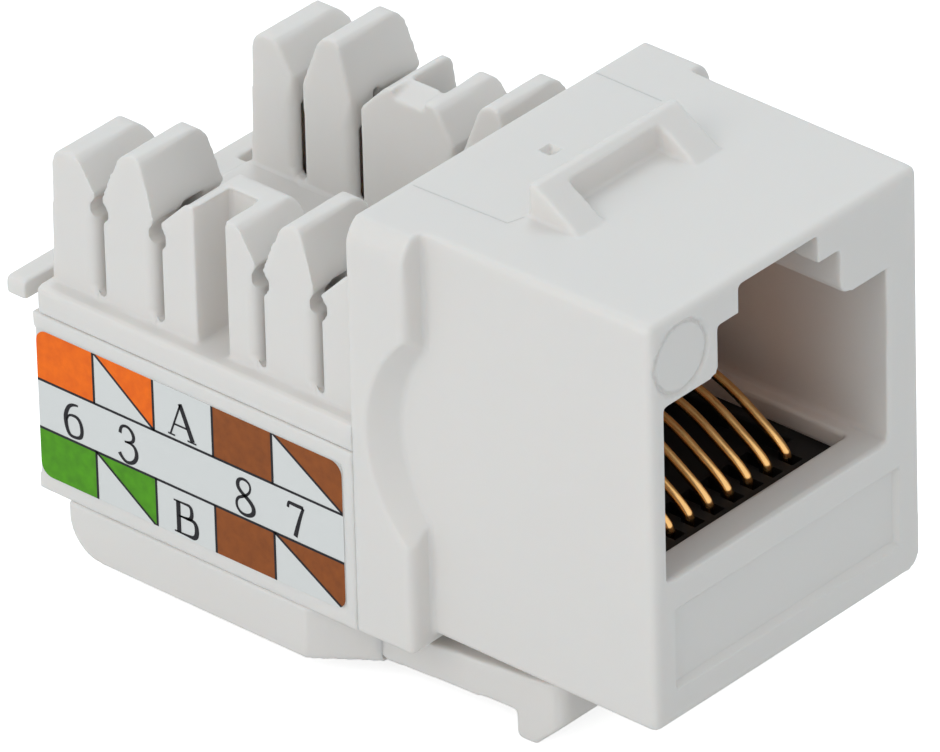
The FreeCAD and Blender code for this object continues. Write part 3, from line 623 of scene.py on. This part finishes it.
def wire_row_nodes(material):
    """Sweeps a round section along the object's own curve and repeats it across the port."""
    tree = bpy.data.node_groups.new("wire_row", "GeometryNodeTree")
    tree.interface.new_socket("Geometry", in_out="INPUT", socket_type="NodeSocketGeometry")
    for label, kind in (("Radius", "NodeSocketFloat"), ("Count", "NodeSocketInt"),
                        ("Spacing", "NodeSocketFloat"), ("First", "NodeSocketFloat")):
        tree.interface.new_socket(label, in_out="INPUT", socket_type=kind)
    tree.interface.new_socket("Geometry", in_out="OUTPUT", socket_type="NodeSocketGeometry")
    nodes = tree.nodes
    links = tree.links
    given = nodes.new("NodeGroupInput")
    result = nodes.new("NodeGroupOutput")
    section = nodes.new("GeometryNodeCurvePrimitiveCircle")
    section.inputs["Resolution"].default_value = 16
    links.new(given.outputs["Radius"], section.inputs["Radius"])
    sweep = nodes.new("GeometryNodeCurveToMesh")
    sweep.inputs["Fill Caps"].default_value = True
    links.new(given.outputs["Geometry"], sweep.inputs["Curve"])
    links.new(section.outputs["Curve"], sweep.inputs["Profile Curve"])
    first = nodes.new("ShaderNodeCombineXYZ")
    links.new(given.outputs["First"], first.inputs["X"])
    step = nodes.new("ShaderNodeCombineXYZ")
    links.new(given.outputs["Spacing"], step.inputs["X"])
    row = nodes.new("GeometryNodeMeshLine")
    links.new(given.outputs["Count"], row.inputs["Count"])
    links.new(first.outputs["Vector"], row.inputs["Start Location"])
    links.new(step.outputs["Vector"], row.inputs["Offset"])
    repeat = nodes.new("GeometryNodeInstanceOnPoints")
    links.new(row.outputs["Mesh"], repeat.inputs["Points"])
    links.new(sweep.outputs["Mesh"], repeat.inputs["Instance"])
    real = nodes.new("GeometryNodeRealizeInstances")
    links.new(repeat.outputs["Instances"], real.inputs["Geometry"])
    smooth = nodes.new("GeometryNodeSetShadeSmooth")
    links.new(real.outputs["Geometry"], smooth.inputs["Geometry"])
    paint = nodes.new("GeometryNodeSetMaterial")
    paint.inputs["Material"].default_value = material
    links.new(smooth.outputs["Geometry"], paint.inputs["Geometry"])
    links.new(paint.outputs["Geometry"], result.inputs["Geometry"])
    return tree


def set_inputs(modifier, values):
    """Sets a node group's inputs by their names."""
    for item in modifier.node_group.interface.items_tree:
        if item.item_type == "SOCKET" and item.in_out == "INPUT" and item.name in values:
            modifier[item.identifier] = values[item.name]


wire_row = wire_row_nodes(gold)
for first, pin_y, name in ((1, PIN_ROWS[0], "odd_contacts"), (2, PIN_ROWS[1], "even_contacts")):
    line = placed(name + "_line", wire_line(pin_y))
    made = line.modifiers.new("wires", "NODES")
    made.node_group = wire_row
    set_inputs(made, {"Radius": CONTACT_RADIUS, "Count": 4, "Spacing": 2 * CONTACT_PITCH,
                      "First": PORT_MIDDLE + (first - 4.5) * CONTACT_PITCH})
    wires = baked(line, name)
    wires.data.transform(Matrix.Scale(MM, 4))
    dress_piece(wires, gold, "jack")
    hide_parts(*["contact_%d" % number for number in range(first, 9, 2)])

# ------------------------------------------------------------------ circuit board
# Glass-epoxy laminate under a green solder mask. It carries the contacts and the terminals.
mask = two_toned("green_solder_mask", (1200.0, 2.0), MASK_TONES, (0.28, 0.4), 0.0)
painted(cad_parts["circuit_board"], mask)

# ------------------------------------------------------------------ wire terminals
# Forked blades stamped from phosphor bronze and tinned. Their slits cut through the insulation.
tin = two_toned("tinned_bronze", (9000.0, 3.0), TIN_TONES, (0.28, 0.45), 1.0, (1.0, 1.0, 0.08))
for row in ("near", "far"):
    for number in range(1, 5):
        painted(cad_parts["%s_terminal_%d" % (row, number)], tin)

# ------------------------------------------------------------------ wiring labels
# Printed film in a shallow seat on each side. Colour fields show which pair of wires goes to which
# slot in the two common wiring orders, A above and B below, with the contact numbers between them.
LABEL_FRONT = 13.05
LABEL_REAR = 27.15
LABEL_LOW = 0.2
LABEL_HIGH = 6.1
LABEL_ROUND = 0.5
LABEL_FACE = 7.95
COLUMNS = (27.25, 24.5, 21.72, 18.98, 16.25, 13.0)
ROWS = (0.15, 2.12, 4.07, 6.15)
INK_LINE = 0.05
FIELD_LIFT = 0.004
LINE_LIFT = 0.008
PEN = 1.4
CORNER_STEPS = 8
FILM_WHITE = (0.74, 0.75, 0.74, 1.0)
FILM_ROUGHNESS = 0.40
INK_BLOTS = (2600.0, 4.0)
INK_SHADES = (0.88, 1.15)
INK_ROUGHNESS = (0.46, 0.56)
INK_SHINE = 0.18
INKS = {
    "orange": (1.0, 0.16, 0.008, 1.0),
    "green": (0.085, 0.32, 0.012, 1.0),
    "brown": (0.28, 0.078, 0.018, 1.0),
    "blue": (0.02, 0.10, 0.42, 1.0),
    "black": (0.022, 0.020, 0.024, 1.0),
}
film = moulded_plastic("label_film", FILM_WHITE, FILM_ROUGHNESS, 0.0)
for side in ("left", "right"):
    painted(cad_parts[side + "_label"], film)

inks = {}
for name, color in INKS.items():
    ink, nodes, links, shader, where = new_material("printed_" + name)
    body = noise(nodes, links, where, *INK_BLOTS)
    uneven = spread(nodes, links, body, 0.0, 1.0)
    tones = [shade(color, factor) for factor in INK_SHADES]
    links.new(two_tones(nodes, links, uneven, *tones), shader.inputs["Base Color"])
    links.new(spread(nodes, links, body, *INK_ROUGHNESS), shader.inputs["Roughness"])
    shader.inputs["Specular IOR Level"].default_value = INK_SHINE
    inks[name] = ink

# Each character is a set of pen strokes: across, up and half the pen's width, in character heights.
STROKES = {
    "1": [[(.30, .02, .05), (.30, .98, .05)], [(.12, .84, .015), (.30, .97, .03)],
          [(.12, .0, .016), (.48, .0, .016)]],
    "2": [[(.07, .78, .045), (.12, .98, .03), (.34, 1.02, .03), (.55, .86, .045),
           (.44, .55, .045), (.20, .25, .03), (.04, .04, .03)],
          [(.04, .035, .036), (.56, .035, .036), (.60, .2, .02)]],
    "3": [[(.07, .76, .04), (.08, .98, .03), (.36, 1.06, .03), (.56, .84, .045), (.50, .58, .03),
           (.22, .55, .02)], [(.22, .55, .02), (.52, .60, .03), (.66, .28, .05), (.50, -.02, .04),
                              (.16, -.08, .03), (.02, .16, .045)]],
    "4": [[(.44, 1.0, .02), (.03, .33, .02)], [(.02, .30, .026), (.62, .30, .026)],
          [(.44, .0, .048), (.44, 1.0, .048)], [(.30, .0, .016), (.58, .0, .016)]],
    "5": [[(.14, .965, .038), (.52, .965, .038)], [(.14, .96, .022), (.10, .55, .022)],
          [(.10, .55, .02), (.40, .72, .03), (.66, .34, .055), (.46, -.04, .04), (.18, -.05, .03),
           (.04, .12, .045)]],
    "6": [[(.52, .98, .02), (.26, .98, .035), (.06, .62, .05), (.07, .28, .05), (.16, .0, .04),
           (.36, -.03, .03), (.60, .04, .04), (.64, .34, .045), (.54, .60, .04), (.34, .64, .03),
           (.14, .58, .02), (.10, .40, .02)]],
    "7": [[(.03, .80, .03), (.05, .97, .03), (.14, .955, .04), (.56, .955, .04)],
          [(.56, .95, .03), (.40, .55, .04), (.26, .0, .05)]],
    "8": [[(.34, .54, .04), (.12, .66, .045), (.08, .88, .045), (.20, 1.03, .03), (.42, 1.03, .03),
           (.54, .90, .025), (.50, .68, .025), (.30, .52, .03), (.06, .40, .03), (.02, .14, .03),
           (.18, -.03, .03), (.44, -.03, .04), (.64, .12, .05), (.60, .38, .05), (.34, .54, .045)]],
    "A": [[(.05, .02, .02), (.42, 1.0, .022)], [(.40, 1.0, .05), (.80, .02, .055)],
          [(.18, .34, .02), (.62, .34, .02)], [(-.04, .0, .018), (.20, .0, .018)],
          [(.62, .0, .018), (.92, .0, .018)]],
    "B": [[(.16, .0, .055), (.16, 1.0, .055)], [(.0, .98, .018), (.34, .98, .02), (.64, .99, .04),
           (.64, .56, .05), (.34, .54, .02), (.16, .54, .02)],
          [(.16, .54, .02), (.42, .54, .02), (.80, .56, .05), (.80, .02, .06), (.42, .02, .02),
           (.0, .02, .018)]],
}
# The digits' height and foot, and for each letter its place along the label, its foot and height.
DIGIT_HEIGHT = 1.34
DIGIT_FOOT = 2.33
DIGIT_SHIFT = 0.04
LETTERS = (("A", -21.00, 4.25, 1.36), ("B", -20.92, 0.33, 1.30))
LEFT_PRINT = {
    "upper": ("orange", "orange/", "", "brown", "brown/"),
    "lower": ("green", "green/", "", "brown", "brown/"),
    "digits": (("6", 26.02), ("3", 23.46), ("8", 18.05), ("7", 15.66)),
}
RIGHT_PRINT = {
    "upper": ("blue", "blue/", "", "green", "green/"),
    "lower": ("blue", "blue/", "", "orange", "orange/"),
    "digits": (("4", 25.98), ("5", 23.28), ("2", 17.80), ("1", 14.95)),
}


def trimmed(outline, inside):
    """The part of a convex outline that lies within another convex, counter-clockwise one."""
    for start, end in zip(inside, inside[1:] + inside[:1]):
        along = end - start
        kept = []
        for here, following in zip(outline, outline[1:] + outline[:1]):
            here_in = along.cross(here - start) >= 0.0
            following_in = along.cross(following - start) >= 0.0
            if here_in:
                kept.append(here)
            if here_in != following_in:
                share = along.cross(start - here) / along.cross(following - here)
                kept.append(here + (following - here) * share)
        outline = kept
        if not outline:
            break
    return outline


def rounded_outline(left, right, low, high, radius):
    """A rectangle with rounded corners, counter-clockwise."""
    centres = ((right - radius, high - radius), (left + radius, high - radius),
               (left + radius, low + radius), (right - radius, low + radius))
    outline = []
    for turn, centre in enumerate(centres):
        for step in range(CORNER_STEPS + 1):
            angle = math.radians(90 * turn + 90 * step / CORNER_STEPS)
            arm = Vector((math.cos(angle), math.sin(angle)))
            outline.append(Vector(centre) + arm * radius)
    return outline


def pen_stroke(points):
    """A ribbon along a smooth line whose width follows the pen, as quads."""
    line = bpy.data.curves.new("pen_line", "CURVE")
    line.dimensions = "3D"
    line.resolution_u = 6
    spline = line.splines.new("NURBS")
    spline.points.add(len(points) - 1)
    for point, (across, up, half) in zip(spline.points, points):
        point.co = (across, up, half, 1.0)
    spline.order_u = min(3, len(points))
    spline.use_endpoint_u = True
    drawn = baked(placed("pen_line", line), "pen_line")
    path = [vertex.co.copy() for vertex in drawn.data.vertices]
    bpy.data.objects.remove(drawn)
    sides = []
    for index, place in enumerate(path):
        ahead = path[min(index + 1, len(path) - 1)] - path[max(index - 1, 0)]
        across = Vector((-ahead.y, ahead.x)).normalized() * place.z * PEN
        sides.append((place.xy + across, place.xy - across))
    return [[one[0], one[1], two[1], two[0]] for one, two in zip(sides, sides[1:])]


def print_label(side, layout):
    """One printed sheet: colour fields, then lines and characters just above them."""
    sign = -1.0 if side == "left" else 1.0
    film_outline = rounded_outline(-LABEL_REAR, -LABEL_FRONT, LABEL_LOW, LABEL_HIGH, LABEL_ROUND)
    shapes = []
    edges = [-y for y in COLUMNS]

    def bar(start, end, half):
        along = (end - start).normalized()
        across = Vector((-along.y, along.x)) * half
        shapes.append(("black", [start - across, end - across, end + across, start + across]))

    for band, low, high in (("upper", ROWS[2], ROWS[3]), ("lower", ROWS[0], ROWS[1])):
        for column, fill in enumerate(layout[band]):
            left, right = edges[column], edges[column + 1]
            corners = [Vector((left, low)), Vector((right, low)), Vector((right, high)),
                       Vector((left, high))]
            if fill.endswith("/"):
                shapes.append((fill[:-1], [corners[1], corners[2], corners[3]]))
                bar(corners[3], corners[1], INK_LINE)
            elif fill:
                shapes.append((fill, corners))
            if column:
                bar(corners[0], corners[3], INK_LINE)
    for up in ROWS[1:3]:
        bar(Vector((edges[0], up)), Vector((edges[-1], up)), INK_LINE)
    marks = [(digit, DIGIT_SHIFT - y, DIGIT_FOOT, DIGIT_HEIGHT) for digit, y in layout["digits"]]
    marks.extend(LETTERS)
    for character, across, up, height in marks:
        foot = Vector((across, up))
        for stroke in STROKES[character]:
            for quad in pen_stroke(stroke):
                shapes.append(("black", [foot + point * height for point in quad]))
    names = list(INKS)
    bm = bmesh.new()
    for ink, outline in shapes:
        area = sum(one.cross(two) for one, two in zip(outline, outline[1:] + outline[:1]))
        if area < 0.0:
            outline = outline[::-1]
        outline = trimmed(outline, film_outline)
        if len(outline) < 3:
            continue
        face_x = sign * (LABEL_FACE + (LINE_LIFT if ink == "black" else FIELD_LIFT))
        start = 0.0 if side == "left" else LABEL_FRONT + LABEL_REAR
        face = bm.faces.new([bm.verts.new((face_x, start + sign * p.x, p.y)) for p in outline])
        face.material_index = names.index(ink)
    bm.normal_update()
    for face in bm.faces:
        if face.normal.x * sign < 0.0:
            face.normal_flip()
    sheet = built(bm, side + "_label_print")
    for name in names:
        sheet.data.materials.append(inks[name])
    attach(sheet, "jack")


print_label("left", LEFT_PRINT)
print_label("right", RIGHT_PRINT)

# ------------------------------------------------------------------ floor, light and camera
# A pale floor under a plain white surround. Soft light comes from all sides, a large softbox on the
# left gives the shapes, and a small cool one overhead lights the roof.
FLOOR_REACH = 1.5
FLOOR_GREY = (0.85, 0.85, 0.85, 1.0)
FLOOR_GLOW = 0.70
PURE_WHITE = (1.0, 1.0, 1.0, 1.0)
SURROUND_TINT = (0.91, 0.97, 1.0, 1.0)
SURROUND_LEVEL = 0.60
corners = [(across * FLOOR_REACH, along * FLOOR_REACH, cad_low.z)
           for across, along in ((-1, -1), (1, -1), (1, 1), (-1, 1))]
floor_mesh = bpy.data.meshes.new("studio_floor")
floor_mesh.from_pydata(corners, [], [(0, 1, 2, 3)])
floor = placed("studio_floor", floor_mesh)
floor_paint = bpy.data.materials.new("pale_floor")
floor_paint.use_nodes = True
nodes = floor_paint.node_tree.nodes
links = floor_paint.node_tree.links
shader = nodes["Principled BSDF"]
shader.inputs["Base Color"].default_value = FLOOR_GREY
shader.inputs["Roughness"].default_value = 0.9
shader.inputs["Emission Color"].default_value = PURE_WHITE
rays = nodes.new("ShaderNodeLightPath")
links.new(combined(nodes, links, "MULTIPLY", rays.outputs["Is Camera Ray"], FLOOR_GLOW),
          shader.inputs["Emission Strength"])
floor.data.materials.append(floor_paint)

world = bpy.data.worlds.new("white_surround")
bpy.context.scene.world = world
world.use_nodes = True
nodes = world.node_tree.nodes
links = world.node_tree.links
surround = nodes["Background"]
rays = nodes.new("ShaderNodeLightPath")
seen = combined(nodes, links, "MAXIMUM", rays.outputs["Is Camera Ray"],
                rays.outputs["Is Transmission Ray"])
seen = combined(nodes, links, "MAXIMUM", seen, rays.outputs["Is Glossy Ray"])
level = nodes.new("ShaderNodeMapRange")
level.inputs["To Min"].default_value = SURROUND_LEVEL
level.inputs["To Max"].default_value = 1.0
links.new(seen, level.inputs["Value"])
links.new(level.outputs["Result"], surround.inputs["Strength"])
links.new(two_tones(nodes, links, seen, SURROUND_TINT, PURE_WHITE), surround.inputs["Color"])

# Each lamp's direction from the aim, its distance and size in metres, its power and its colour.
AIM = Vector((-3.30, 11.08, 8.33)) * MM
LAMPS = {
    "key_softbox": ((0.45, 0.35, 0.82), 0.55, 0.22, 0.47, (0.82, 0.93, 1.0)),
    "side_softbox": ((-0.84, 0.05, 0.54), 0.55, 0.45, 1.0, (1.0, 0.99, 0.98)),
    "front_fill": ((-0.10, -0.90, 0.32), 0.60, 0.50, 0.09, (1.0, 1.0, 1.0)),
}
for name, (direction, distance, size, power, tint) in LAMPS.items():
    lamp = bpy.data.lights.new(name, "AREA")
    lamp.color = tint
    lamp.shape = "SQUARE"
    lamp.size = size
    lamp.energy = power
    holder = placed(name, lamp)
    toward = Vector(direction).normalized()
    holder.location = AIM + toward * distance
    holder.rotation_euler = (-toward).to_track_quat("-Z", "Y").to_euler()

AZIMUTH = math.radians(-48.01)
ELEVATION = math.radians(31.48)
ROLL = math.radians(-1.50)
DISTANCE = 450.9 * MM
FOCAL_LENGTH = 510.0
LENS_SHIFT = (-0.0045, -0.0047)
back = Vector((math.sin(AZIMUTH) * math.cos(ELEVATION),
               -math.cos(AZIMUTH) * math.cos(ELEVATION),
               math.sin(ELEVATION)))
lens = bpy.data.cameras.new("studio_camera")
lens.sensor_width = 36.0
lens.lens = FOCAL_LENGTH
lens.shift_x, lens.shift_y = LENS_SHIFT
lens.clip_start = 0.01
lens.clip_end = 10.0
camera = placed("studio_camera", lens)
camera.location = AIM + back * DISTANCE
camera.rotation_mode = "QUATERNION"
roll = Quaternion((0.0, 0.0, 1.0), ROLL)
camera.rotation_quaternion = (-back).to_track_quat("-Z", "Y") @ roll
bpy.context.scene.camera = camera
bpy.context.scene.view_settings.view_transform = "Standard"
